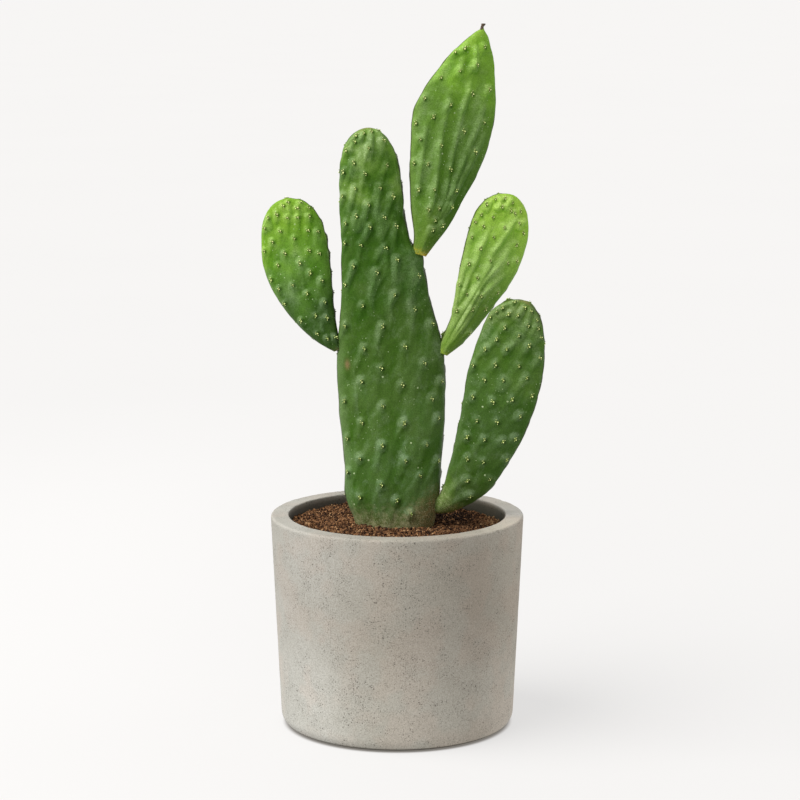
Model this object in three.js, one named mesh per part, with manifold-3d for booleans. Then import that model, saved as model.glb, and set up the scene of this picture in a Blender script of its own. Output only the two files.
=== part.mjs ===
// A potted paddle cactus: one tall old pad stands in a cylindrical concrete pot of gritty soil, and four
// younger pads grow from its edges. Millimetres, +Z up, with the viewer of the front at -Y. The origin is on
// the pot's axis, at the level of the surface that the pot stands on.
import * as THREE from "three";
import { mergeVertices } from "three/addons/utils/BufferGeometryUtils.js";
import Module from "manifold-3d";

const wasm = await Module();
wasm.setup();

// ---- Driving dimensions ----

const POT_HEIGHT = 152;
const RIM_RADIUS = 90; // outside, at the top
const BASE_RADIUS = 83.5; // outside, at the foot, before its edge is rounded
const RIM_WALL = 13;
const FLOOR_THICKNESS = 16;
const FLOOR_RADIUS = 71; // inside, at the floor, before its corner is rounded
const HEEL_ROUND = 9; // the rounded lower edge
const LIP_ROUND_OUTER = 2;
const LIP_ROUND_INNER = 1.2;
const FLOOR_ROUND = 8;
const FOOT_INNER_RADIUS = 60; // the foot is a flat ring round a shallow recess
const FOOT_RECESS = 1.5;
const DRAIN_RADIUS = 8;
const POT_SIDES = 56;
const ARC_STEPS = 4; // on each rounded edge

const GAP = 0.35; // between pieces that rest on or grow from each other
const SOIL_LEVEL = 144;
const SOIL_DIP = 1.6; // by how much the soil stands above its level at the left and below it at the right
const CLOD_HEIGHT = 0.5;

// The points of a pad's section stand off even angles by this much, in radians, which evens out the
// distances between them on the flat section.
const EDGE_SPREAD = 0.15;
// Power on the section's depth: under 1 it is a little fuller than an ellipse.
const SECTION_FULLNESS = 0.85;
// Near its tip a pad is thinner: from this rise on, its depth falls off along part of an ellipse.
const TIP_START = 0.86;
const TIP_THINNING = 0.72; // how much is gone of the depth's square at the tip

// Areoles: each is a small nub on a low mound that trails down towards the pad's base.
const MOUND_RADIUS = 0.26; // of the local spacing of the areoles
const MOUND_TAIL = 1.7; // how much further the mound reaches below its areole than above it
const AREOLE_NUB = 0.5; // height
const NUB_REACH = 0.05; // of the mound's radius
const LAST_AREOLE = 0.985; // share of the way up a pad's side
const CROWDED = 0.45; // of the local spacing: closer candidates are left out
const JITTER = 0.08; // of the local spacing, to either side

// Folds run up a pad from its joint, fan out over its lower half and fade towards its edges and its tip.
const FOLDS = 7; // round the pad
const FOLD_DRIFT = 2.2; // radians by which they turn on the way up

// Each pad has its own frame: x across it, z up from its joint, y through it, with its front at -y.
// `lean` turns it right in the front view, `tilt` brings its tip forwards and `twist` takes its right edge
// back, in degrees. The outline [x, z] runs up the left side, over the tip and down the right side, and
// `tip` is the number of the tip's point in it. `thickness` and the `spacing` of the areoles in their
// columns are given at the base and at the tip.
const PADS = {
  trunk_pad: {
    joint: [0, 0, SOIL_LEVEL],
    lean: 0,
    tilt: 0,
    twist: 0,
    bow: 3,
    thickness: [42, 20],
    outline: [
      [-12, -38], [-25, -14], [-31, 3], [-36.9, 20], [-37.6, 45], [-41.1, 78], [-43, 118], [-40.2, 155],
      [-39.2, 195], [-40.5, 235], [-39.4, 260], [-33, 275.5],
      [-21, 281.6],
      [-9, 277], [-1, 264], [3, 240], [5.7, 216], [10.3, 200.5], [17.4, 193.5], [20, 178], [25, 155],
      [29.8, 138], [33.8, 118], [34.3, 90], [32.4, 50], [30.2, 22], [27.5, 4], [21, -14], [10, -38],
    ],
    tip: 12,
    columns: 12,
    spacing: [29, 18],
    firstAreole: 50,
    mound: 1.1,
    fold: 0.5,
    rings: 60,
    sides: 32,
    colour: 0x3f7234,
  },
  left_pad: {
    joint: [-41.6, 0, 271],
    lean: -18.5,
    tilt: -12,
    twist: -14,
    bow: 2.5,
    thickness: [14, 12],
    outline: [
      [-3.8, -2], [-13.2, 8], [-22, 22.2], [-29.5, 40], [-33.6, 58], [-33.5, 74], [-29.6, 89], [-22.6, 103],
      [-14.3, 110.2],
      [-4.5, 112.4],
      [4.6, 109.6], [12.2, 103.4], [16.6, 92.8], [17.2, 80], [14.1, 62], [9.3, 40], [4.6, 20], [2.9, 8],
      [1.6, -2],
    ],
    tip: 9,
    columns: 12,
    spacing: [16.5, 9.5],
    firstAreole: 12,
    mound: 0.9,
    fold: 0.3,
    rings: 32,
    sides: 24,
    colour: 0x5c9a34,
  },
  top_pad: {
    joint: [15.8, 0, 339],
    lean: 16.5,
    tilt: -6,
    twist: 14,
    bow: 3,
    thickness: [15, 11],
    outline: [
      [-5.2, -2.5], [-7, 8], [-14.3, 25.4], [-21.3, 46.3], [-27.8, 70], [-32.6, 91], [-30, 108.8],
      [-24, 126.5], [-15, 144.6], [-6.4, 157.4], [-3.5, 160.6],
      [-2.6, 164.6],
      [-1, 161.2], [3.8, 156.6], [10.8, 144.6], [18.1, 129], [24.6, 109.4], [26.7, 88], [25.2, 66],
      [20.7, 43], [15.4, 22], [9.6, 8], [5.4, -2.5],
    ],
    tip: 11,
    columns: 10,
    spacing: [26, 19],
    firstAreole: 18,
    mound: 0.9,
    fold: 0.9,
    rings: 46,
    sides: 24,
    colour: 0x4e8a35,
  },
  right_pad: {
    joint: [31.4, 0, 268.6],
    lean: 22,
    tilt: -9,
    twist: 18,
    bow: 3,
    thickness: [13, 12],
    outline: [
      [-3.4, -2], [-3, 10], [-3.1, 28], [-7.7, 48], [-11.4, 67], [-14.5, 86], [-14.6, 101], [-9.9, 112.7],
      [-2.5, 118.7],
      [7, 121.2],
      [15.4, 117.8], [22.8, 110.5], [28.7, 97.8], [30.9, 81], [29.8, 63], [25, 44], [19.2, 26], [12.4, 10],
      [5, -2],
    ],
    tip: 9,
    columns: 10,
    spacing: [19, 9],
    firstAreole: 14,
    mound: 0.9,
    fold: 0.9,
    rings: 34,
    sides: 24,
    colour: 0x6ea63d,
  },
  low_pad: {
    joint: [30.6, 0, 153],
    lean: 20.5,
    tilt: 12,
    twist: -12,
    bow: -3,
    thickness: [18, 14],
    outline: [
      [-9.5, 6], [-5.2, 13], [-5.2, 21], [-6.8, 34], [-10.7, 62], [-16.2, 90], [-20.8, 116], [-22.3, 138],
      [-19.6, 156], [-10.8, 165.6],
      [-1.5, 168.6],
      [7.4, 166.2], [15.4, 159], [23, 145.6], [29.7, 125], [33.5, 102], [33.9, 78], [31.4, 52], [26.8, 31],
      [17.4, 14.7], [8, 4], [0, -1.6], [-6, -3],
    ],
    tip: 10,
    columns: 10,
    spacing: [19, 13],
    firstAreole: 14,
    mound: 1,
    fold: 0.4,
    rings: 46,
    sides: 26,
    colour: 0x467a33,
  },
};

const CONCRETE = new THREE.MeshStandardMaterial({ color: 0xb4afa5, roughness: 0.85, metalness: 0 });
const SOIL = new THREE.MeshStandardMaterial({ color: 0x5a3d2b, roughness: 1, metalness: 0 });

// ---- Solids ----

function solidOf(geometry) {
  const bare = new THREE.BufferGeometry().setAttribute("position", geometry.getAttribute("position"));
  bare.setIndex(geometry.index);
  const merged = mergeVertices(bare, 1e-3);
  const corners = merged.index.array;
  const kept = []; // without the triangles that collapse where a lathe's profile meets its axis
  for (let n = 0; n < corners.length; n += 3) {
    const [a, b, c] = corners.slice(n, n + 3);
    if (a !== b && b !== c && c !== a) {
      kept.push(a, b, c);
    }
  }
  return new wasm.Manifold(
    new wasm.Mesh({
      numProp: 3,
      vertProperties: merged.attributes.position.array,
      triVerts: new Uint32Array(kept),
    }),
  );
}

function geometryOf(solid) {
  const mesh = solid.getMesh();
  const geometry = new THREE.BufferGeometry();
  geometry.setAttribute("position", new THREE.BufferAttribute(mesh.vertProperties, 3));
  geometry.setIndex(new THREE.BufferAttribute(mesh.triVerts, 1));
  geometry.computeVertexNormals();
  return geometry;
}

function latheOf(profile) {
  const geometry = new THREE.LatheGeometry(profile.getPoints(ARC_STEPS / 2), POT_SIDES);
  return geometry.rotateX(Math.PI / 2);
}

// ---- The pot ----

const outerSlope = Math.atan2(RIM_RADIUS - BASE_RADIUS, POT_HEIGHT);
const innerSlope = Math.atan2(RIM_RADIUS - RIM_WALL - FLOOR_RADIUS, POT_HEIGHT - FLOOR_THICKNESS);

function innerRadiusAt(height) {
  return FLOOR_RADIUS + (height - FLOOR_THICKNESS) * Math.tan(innerSlope);
}

function potGeometry() {
  const quarter = Math.PI / 2;
  const profile = new THREE.Path();
  profile.moveTo(DRAIN_RADIUS, FOOT_RECESS);
  profile.lineTo(FOOT_INNER_RADIUS, FOOT_RECESS);
  profile.lineTo(FOOT_INNER_RADIUS + FOOT_RECESS, 0);
  profile.absarc(BASE_RADIUS - HEEL_ROUND, HEEL_ROUND, HEEL_ROUND, -quarter, -outerSlope, false);
  profile.absarc(
    RIM_RADIUS - LIP_ROUND_OUTER, POT_HEIGHT - LIP_ROUND_OUTER, LIP_ROUND_OUTER, -outerSlope, quarter, false,
  );
  profile.absarc(
    RIM_RADIUS - RIM_WALL + LIP_ROUND_INNER, POT_HEIGHT - LIP_ROUND_INNER, LIP_ROUND_INNER,
    quarter, Math.PI - innerSlope, false,
  );
  profile.absarc(
    FLOOR_RADIUS - FLOOR_ROUND, FLOOR_THICKNESS + FLOOR_ROUND, FLOOR_ROUND, -innerSlope, -quarter, true,
  );
  profile.lineTo(DRAIN_RADIUS, FLOOR_THICKNESS);
  profile.lineTo(DRAIN_RADIUS, FOOT_RECESS);
  return latheOf(profile);
}

// ---- The pads ----

// A repeatable number from 0 to 1 for a whole number.
function hash(n) {
  const s = Math.sin(n * 12.9898 + 4.1414) * 43758.5453;
  return s - Math.floor(s);
}

function mix(pair, share) {
  return pair[0] + (pair[1] - pair[0]) * share;
}

// The surface of a pad without its areoles, as a function of `rise`, 0 at the joint and 1 at the tip, and of
// `turn`, the way round its section: 0 at the right edge, a quarter turn at the back, then left, then front.
function padSurface(pad) {
  const points = pad.outline.map(([x, z]) => new THREE.Vector3(x, 0, z));
  const curve = new THREE.CatmullRomCurve3(points);
  const stepsEach = 20; // of the length's measure, from one point to the next
  curve.arcLengthDivisions = (points.length - 1) * stepsEach;
  const lengths = curve.getLengths();
  const tipShare = lengths[pad.tip * stepsEach] / lengths.at(-1);
  const surface = (rise, turn) => {
    const left = curve.getPointAt(rise * tipShare);
    const right = curve.getPointAt(1 - rise * (1 - tipShare));
    const across = right.clone().sub(left);
    const half = across.length() / 2;
    const nearTip = Math.max(0, (rise - TIP_START) / (1 - TIP_START));
    const fullDepth = (mix(pad.thickness, rise) / 2) * Math.sqrt(1 - TIP_THINNING * nearTip ** 2);
    const depth = (fullDepth * half) / Math.hypot(half, fullDepth);
    const angle = turn + EDGE_SPREAD * Math.sin(2 * turn);
    const through = Math.sign(Math.sin(angle)) * Math.abs(Math.sin(angle)) ** SECTION_FULLNESS;
    const point = left.add(right).multiplyScalar(0.5);
    point.addScaledVector(across.normalize(), half * Math.cos(angle));
    point.y += depth * through + pad.bow * Math.sin(Math.PI * rise);
    return point;
  };
  return { surface, sideLength: lengths.at(-1) / 2 };
}

// The areoles stand in columns round the pad, in steps up each column, with every second column half a step
// higher. Where the columns run together, towards the neck and the tip, those that would crowd are left out.
function areolesOf(pad, { surface, sideLength }) {
  const found = [];
  for (let column = 0; column < pad.columns; column++) {
    let along = pad.firstAreole + ((column % 2) * pad.spacing[0]) / 2;
    for (let n = 0; along < sideLength * LAST_AREOLE; n++) {
      const spacing = mix(pad.spacing, along / sideLength);
      const seed = column * 97 + n * 13 + pad.outline.length;
      const rise = (along + (hash(seed) - 0.5) * 2 * JITTER * spacing) / sideLength;
      const turn = ((column + 0.5 + (hash(seed + 7) - 0.5) * 4 * JITTER) / pad.columns) * 2 * Math.PI;
      const centre = surface(rise, turn);
      if (found.every((other) => other.centre.distanceTo(centre) > CROWDED * spacing)) {
        const up = surface(rise + 0.01, turn).sub(surface(rise - 0.01, turn)).normalize();
        found.push({ rise, turn, centre, up, spacing });
      }
      along += spacing;
    }
  }
  return found;
}

// How far the folds raise or lower the surface.
function foldHeight(pad, rise, turn) {
  const fade = Math.sin(turn) ** 2 * Math.sin(Math.PI * rise ** 0.6) ** 2;
  return pad.fold * fade * Math.cos(FOLDS * turn + FOLD_DRIFT * rise);
}

// How far the mounds of the areoles raise a point of the surface.
function moundHeight(point, pad, areoles) {
  let height = 0;
  for (const { centre, up, spacing } of areoles) {
    const away = point.clone().sub(centre);
    const radius = MOUND_RADIUS * spacing;
    const rise = away.dot(up);
    const side = away.addScaledVector(up, -rise).length();
    const reach = Math.hypot(side, rise < 0 ? rise / MOUND_TAIL : rise) / radius;
    if (reach < 1) {
      height = Math.max(height, pad.mound * (1 - reach * reach) ** 1.5);
    }
    if (reach < NUB_REACH) {
      height += AREOLE_NUB;
    }
  }
  return height;
}

// A closed skin of rings from the joint to the tip, and larger by `grow` all round. Where an areole lies, the
// ring point nearest to it moves onto it, so that the mound has its top there.
function padGeometry(pad, grow = 0) {
  const { rings, sides } = pad;
  const shape = padSurface(pad);
  const areoles = areolesOf(pad, shape);
  const params = [];
  for (let ring = 0; ring < rings; ring++) {
    for (let side = 0; side < sides; side++) {
      params.push([ring / rings, (side / sides) * 2 * Math.PI]);
    }
  }
  for (const { rise, turn } of areoles) {
    const ring = Math.min(rings - 1, Math.round(rise * rings));
    const side = Math.round((turn / (2 * Math.PI)) * sides + sides) % sides;
    params[ring * sides + side] = [rise, turn];
  }
  const points = params.map(([rise, turn]) => shape.surface(rise, turn));
  points.push(shape.surface(0, 0).add(shape.surface(0, Math.PI)).multiplyScalar(0.5)); // the neck's middle
  points.push(shape.surface(1, 0).add(shape.surface(1, Math.PI)).multiplyScalar(0.5)); // the tip
  const [neck, tip] = [rings * sides, rings * sides + 1];
  const index = [];
  for (let side = 0; side < sides; side++) {
    const next = (side + 1) % sides;
    index.push(neck, next, side);
    for (let ring = 0; ring < rings - 1; ring++) {
      const [a, b] = [ring * sides + side, ring * sides + next];
      const [c, d] = [a + sides, b + sides];
      index.push(a, b, d, a, d, c);
    }
    index.push((rings - 1) * sides + side, (rings - 1) * sides + next, tip);
  }
  const geometry = new THREE.BufferGeometry().setFromPoints(points).setIndex(index);
  geometry.computeVertexNormals();
  const normal = new THREE.Vector3();
  const raised = points.map((point, n) => {
    normal.fromBufferAttribute(geometry.getAttribute("normal"), n);
    const [rise, turn] = params[n] ?? [0, 0];
    const relief = foldHeight(pad, rise, turn) + moundHeight(point, pad, areoles);
    return point.clone().addScaledVector(normal, grow + relief);
  });
  return geometry.setFromPoints(raised);
}

function padMesh(name, pad) {
  const material = new THREE.MeshStandardMaterial({ color: pad.colour, roughness: 0.55, metalness: 0 });
  const mesh = new THREE.Mesh(padGeometry(pad), material);
  mesh.name = name;
  mesh.position.set(...pad.joint);
  mesh.rotation.set(
    THREE.MathUtils.degToRad(pad.tilt),
    THREE.MathUtils.degToRad(pad.lean),
    THREE.MathUtils.degToRad(pad.twist),
  );
  mesh.updateMatrix();
  return mesh;
}

// ---- The soil ----

// Height of the soil's surface: it sinks to the right and is covered in clods.
function soilHeight(x, y) {
  const dip = -SOIL_DIP * Math.tanh((x - 20) / 30);
  const clods =
    Math.sin(x * 0.47 + 1.3 * Math.sin(y * 0.31)) + Math.sin(y * 0.53 + 1.7 * Math.sin(x * 0.29 + 2));
  return SOIL_LEVEL + dip + CLOD_HEIGHT * clods;
}

function soilGeometry() {
  const wall = innerRadiusAt(SOIL_LEVEL) - GAP;
  const flat = FLOOR_RADIUS - FLOOR_ROUND;
  const rings = 11; // of points on its surface
  const profile = new THREE.Path();
  profile.moveTo(0, FLOOR_THICKNESS + GAP);
  profile.lineTo(flat, FLOOR_THICKNESS + GAP);
  profile.absarc(flat, FLOOR_THICKNESS + FLOOR_ROUND, FLOOR_ROUND - GAP, -Math.PI / 2, -innerSlope, false);
  profile.lineTo(wall, SOIL_LEVEL);
  for (let ring = rings - 1; ring >= 0; ring--) {
    profile.lineTo((wall * ring) / rings, SOIL_LEVEL);
  }
  const geometry = latheOf(profile);
  const position = geometry.getAttribute("position");
  for (let n = 0; n < position.count; n++) {
    const onTop = Math.abs(position.getZ(n) - SOIL_LEVEL) < GAP;
    if (onTop) {
      position.setZ(n, soilHeight(position.getX(n), position.getY(n)));
    }
  }
  return geometry;
}

// ---- Assembly ----

const plant = new THREE.Group();
plant.name = "potted_paddle_cactus";

function addPiece(name, geometry, material) {
  const mesh = new THREE.Mesh(geometry, material);
  mesh.name = name;
  plant.add(mesh);
}

const trunk = PADS.trunk_pad;
// The trunk, a gap larger, in the plant's frame: what the pads and the soil have to leave free.
const trunkRoom = padGeometry(trunk, GAP).translate(...trunk.joint);

addPiece("pot", potGeometry(), CONCRETE);
addPiece("soil", geometryOf(solidOf(soilGeometry()).subtract(solidOf(trunkRoom))), SOIL);

for (const [name, pad] of Object.entries(PADS)) {
  const mesh = padMesh(name, pad);
  if (pad !== trunk) {
    const room = trunkRoom.clone().applyMatrix4(mesh.matrix.clone().invert());
    mesh.geometry = geometryOf(solidOf(mesh.geometry).subtract(solidOf(room)));
  }
  plant.add(mesh);
}

export default plant;
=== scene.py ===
"""A potted paddle cactus: a tall old pad with four younger pads, in gritty soil in a round concrete pot.

Lengths are in millimetres while a piece is shaped, and in metres once it is placed.
"""

import math
import random

import bmesh
import bpy
import numpy as np
from mathutils import Matrix, Vector, noise


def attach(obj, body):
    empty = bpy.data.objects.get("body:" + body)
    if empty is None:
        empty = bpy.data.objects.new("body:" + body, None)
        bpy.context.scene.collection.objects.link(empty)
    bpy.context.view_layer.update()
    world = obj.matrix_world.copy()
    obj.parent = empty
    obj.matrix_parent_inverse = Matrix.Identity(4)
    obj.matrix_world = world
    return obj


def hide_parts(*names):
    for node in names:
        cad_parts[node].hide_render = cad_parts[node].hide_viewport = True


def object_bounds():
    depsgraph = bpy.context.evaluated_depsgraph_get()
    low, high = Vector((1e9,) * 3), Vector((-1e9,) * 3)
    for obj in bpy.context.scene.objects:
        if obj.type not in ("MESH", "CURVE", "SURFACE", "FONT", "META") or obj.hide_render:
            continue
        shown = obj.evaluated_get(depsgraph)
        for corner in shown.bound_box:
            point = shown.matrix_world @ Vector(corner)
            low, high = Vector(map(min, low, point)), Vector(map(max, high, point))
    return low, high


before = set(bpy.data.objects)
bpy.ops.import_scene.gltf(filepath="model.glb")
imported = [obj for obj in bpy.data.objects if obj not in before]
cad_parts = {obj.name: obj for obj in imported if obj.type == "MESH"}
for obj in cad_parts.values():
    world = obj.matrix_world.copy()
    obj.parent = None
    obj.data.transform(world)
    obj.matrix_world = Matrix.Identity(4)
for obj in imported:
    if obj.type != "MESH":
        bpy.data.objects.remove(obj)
CAD_LO, CAD_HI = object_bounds()

MM = 0.001

# ---- The object's dimensions, in mm ----

POT_HEIGHT = 152
RIM_RADIUS = 90
BASE_RADIUS = 83.5
RIM_WALL = 13
FLOOR_THICKNESS = 16
FLOOR_RADIUS = 71
HEEL_ROUND = 9
LIP_ROUND_OUTER = 2
LIP_ROUND_INNER = 1.2
FLOOR_ROUND = 8
FOOT_INNER_RADIUS = 60
FOOT_RECESS = 1.5
DRAIN_RADIUS = 8
SOIL_LEVEL = 144
GAP = 0.35

# ---- The pads' shapes ----

CURVE_SAMPLES = 20  # to each span of an outline
EDGE_SPREAD = 0.15
SECTION_FULLNESS = 0.85
TIP_START = 0.86  # above this share of its height a pad thins, by up to TIP_THINNING of its section
TIP_THINNING = 0.72
SWELLS = 7
SWELL_DRIFT = 2.2
LAST_AREOLE = 0.985
CROWDED = 0.45  # how near areoles may be at the back, in spacings
CROWDED_BY_FRONT = 0.8
COLUMNS_END = -0.35  # where the front's own areoles take over: the sine of the turn
JITTER = 0.08

# Each pad has its joint's place, its angles in degrees, its bow, its thickness at the joint and the tip, and an
# outline that runs up the left side, over the tip (the number of its point) and down the right side. Then come its
# columns of areoles, its cells, the heights and reach of its relief, and the colours of its skin from the joint (0)
# to the tip (1). Its finish also says how much painted shade darkens its lower right side and how strong its pale
# bloom and painted highlight are. Last is what its front shows, as mm across and up from the joint: areoles, folds,
# each a line of points, and pale patches of bloom, partly painted highlight, and scars, each with its half width and
# half height.
PADS = {}
PADS["trunk_pad"] = dict(
    joint=(0, 0, SOIL_LEVEL), lean=0, tilt=0, twist=0, bow=3, thickness=(42, 20), tip=12,
    outline=[
        (-12, -38), (-25, -14), (-31, 3), (-36.9, 20), (-37.6, 45), (-41.1, 78), (-43, 118), (-40.2, 155),
        (-39.2, 195), (-40.5, 235), (-39.4, 260), (-33, 275.5), (-21, 281.6), (-9, 277), (-1, 264), (3, 240),
        (5.7, 216), (10.3, 200.5), (17.4, 193.5), (20, 178), (25, 155), (29.8, 138), (33.8, 118), (34.3, 90),
        (32.4, 50), (30.2, 22), (27.5, 4), (21, -14), (10, -38),
    ],
    columns=12, spacing=(29, 18), first_areole=50, swell=0.25,
    cell=0.9, mound_radius=4.9, mound=1.45, tail=1.3, ridge=1.8, ridge_reach=14, wave=0.95, crest=1.2,
    slot="old_pad", shaded=0.0, cork=0.175, foot=(0.29, 0.275, 0.145), wool=(0.3, 1.0), spots=0.8, waxy=1.12,
    tones=[
        (0.1, (0.07, 0.132, 0.031)), (0.25, (0.068, 0.145, 0.028)), (0.39, (0.071, 0.141, 0.026)),
        (0.54, (0.056, 0.117, 0.018)), (0.7, (0.034, 0.096, 0.007)), (0.83, (0.066, 0.148, 0.017)),
        (0.93, (0.148, 0.262, 0.047)),
    ],
    seen=[
        (10, 10), (0, 20), (-26, 22), (-11, 31), (16, 37), (-34, 39), (29, 47), (6, 48), (-26, 49), (-10, 59),
        (21, 60), (-35, 63), (5, 75), (-25, 75), (29, 78), (-10, 88), (-37, 90), (24, 92), (4, 102), (31, 104),
        (-25, 104), (-11, 114), (19, 117), (-23, 128), (6, 129), (-36, 143), (-10, 143), (24, 145), (12, 155),
        (-24, 158), (-2, 166), (-36, 172), (15, 179), (-14, 181), (-30, 185), (0, 190), (-8, 199), (-25, 200),
        (-36, 201), (-1, 213), (-19, 213), (-35, 215), (-9, 220), (-28, 221), (-20, 229), (-37, 234), (-3, 234),
        (-12, 240), (-29, 240), (-22, 250), (-37, 251), (-7, 256), (-30, 257), (-35, 266), (-20, 268), (-29, 272),
        (-10, 273), (-28, 276), (-23, 278), (-13, 279), (-18, 279),
    ],
    folds=[
        [(-30, 276), (-33, 262)], [(-24, 278), (-26, 258)], [(-17, 279), (-19, 256)], [(-11, 276), (-11, 260)],
        [(-9, 232), (-13, 221), (-11, 214)], [(-2, 222), (-9, 208), (-12, 196)], [(-25, 222), (-27, 208)],
        [(-8, 205), (-16, 186)], [(-6, 184), (-16, 168), (-18, 152)], [(3, 172), (-3, 160), (-4, 146)],
        [(13, 192), (11, 180), (9, 166), (9, 150)],
    ],
    worn=[(12, 181, 5, 15), (11, 188, 6, 8), (9, 160, 3.5, 9), (29, 128, 4, 6)],
    scars=[(-35, 116, 1.5, 3)],
)
PADS["left_pad"] = dict(
    joint=(-41.6, 0, 271), lean=-18.5, tilt=-12, twist=-14, bow=2.5, thickness=(14, 12), tip=9,
    outline=[
        (-3.8, -2), (-13.2, 8), (-22, 22.2), (-29.5, 40), (-33.6, 58), (-33.5, 74), (-29.6, 89), (-22.6, 103),
        (-14.3, 110.2), (-4.5, 112.4), (4.6, 109.6), (12.2, 103.4), (16.6, 92.8), (17.2, 80), (14.1, 62), (9.3, 40),
        (4.6, 20), (2.9, 8), (1.6, -2),
    ],
    columns=12, spacing=(16.5, 9.5), first_areole=12, swell=0.15,
    cell=0.7, mound_radius=4.0, mound=1.1, tail=1.4, ridge=0.7, ridge_reach=9, wave=0.55, crest=1.0,
    slot="young_pad", shaded=0.08, cork=0.03, foot=(0.13, 0.095, 0.035), wool=(0.5, 1.0), spots=0.6, waxy=0.95,
    tones=[
        (0.02, (0.032, 0.074, 0.011)), (0.25, (0.034, 0.082, 0.012)), (0.55, (0.09, 0.198, 0.024)),
        (0.8, (0.15, 0.306, 0.022)), (1.0, (0.192, 0.35, 0.026)),
    ],
    seen=[
        (1, 7), (-4, 8), (-10, 14), (0, 22), (-7, 26), (-18, 26), (2, 33), (-26, 42), (-8, 43), (5, 48), (-16, 52),
        (-27, 53), (-1, 56), (-30, 61), (-6, 65), (9, 67), (-22, 69), (3, 71), (-14, 75), (-28, 82), (13, 82),
        (-4, 83), (7, 85), (-20, 86), (-12, 91), (11, 94), (3, 96), (-22, 97), (-4, 98), (12, 100), (5, 102),
        (-10, 103), (-17, 103), (8, 105), (-4, 107), (0, 108),
    ],
    folds=[
        [(-1, 107), (-2, 92)], [(-9, 108), (-11, 96)], [(6, 106), (5, 94)], [(-17, 104), (-19, 93)],
        [(-3, 27), (-6, 12)], [(2, 36), (0, 18)], [(-6, 62), (-9, 47)],
    ],
    worn=[(-20, 46, 5, 9), (-6, 70, 4, 9)],
)
PADS["top_pad"] = dict(
    joint=(15.8, 0, 339), lean=16.5, tilt=-6, twist=14, bow=3, thickness=(15, 11), tip=11,
    outline=[
        (-5.2, -2.5), (-7, 8), (-14.3, 25.4), (-21.3, 46.3), (-27.8, 70), (-32.6, 91), (-30, 108.8), (-24, 126.5),
        (-15, 144.6), (-6.4, 157.4), (-3.5, 160.6), (-2.6, 164.6), (-1, 161.2), (3.8, 156.6), (10.8, 144.6),
        (18.1, 129), (24.6, 109.4), (26.7, 88), (25.2, 66), (20.7, 43), (15.4, 22), (9.6, 8), (5.4, -2.5),
    ],
    columns=10, spacing=(26, 19), first_areole=18, swell=0.45,
    cell=0.72, mound_radius=4.6, mound=1.15, tail=1.6, ridge=0.9, ridge_reach=12, wave=0.6, crest=2.3,
    slot="mid_pad", shaded=0.8, cork=0.042, foot=(0.5, 0.41, 0.035), wool=(0.4, 1.0), spots=0.8, waxy=0.9,
    tones=[
        (0.02, (0.122, 0.222, 0.03)), (0.25, (0.106, 0.214, 0.028)), (0.6, (0.104, 0.215, 0.025)),
        (0.85, (0.182, 0.37, 0.031)), (1.0, (0.2, 0.36, 0.038)),
    ],
    seen=[
        (3, 17), (9, 22), (3, 24), (-4, 30), (3, 33), (11, 36), (-14, 41), (-4, 44), (11, 48), (-22, 58), (-13, 60),
        (3, 61), (-23, 75), (-8, 75), (17, 78), (-29, 85), (5, 89), (-19, 92), (17, 99), (-28, 103), (-10, 104),
        (3, 116), (-21, 120), (14, 122), (-10, 128), (0, 136), (-16, 140), (-11, 144), (2, 149),
    ],
    folds=[
        [(-3, 16), (-2, 35), (-5, 57), (-9, 78), (-11, 104), (-12, 120)],
        [(1, 18), (5, 39), (3, 62), (1, 86), (0, 116), (-1, 134)], [(5, 20), (9, 48), (12, 77), (14, 100), (14, 120)],
        [(-13, 34), (-17, 58), (-22, 89)], [(-8, 121), (-10, 139)], [(1, 129), (-4, 149)],
        [(8, 20), (14, 55), (20, 86), (21, 106)],
    ],
    worn=[(3, 87, 5, 12), (13, 97, 4, 11), (8, 112, 3.5, 9), (-20, 127, 4, 12), (-12, 60, 3, 16), (-27, 90, 4, 16)],
)
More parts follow.
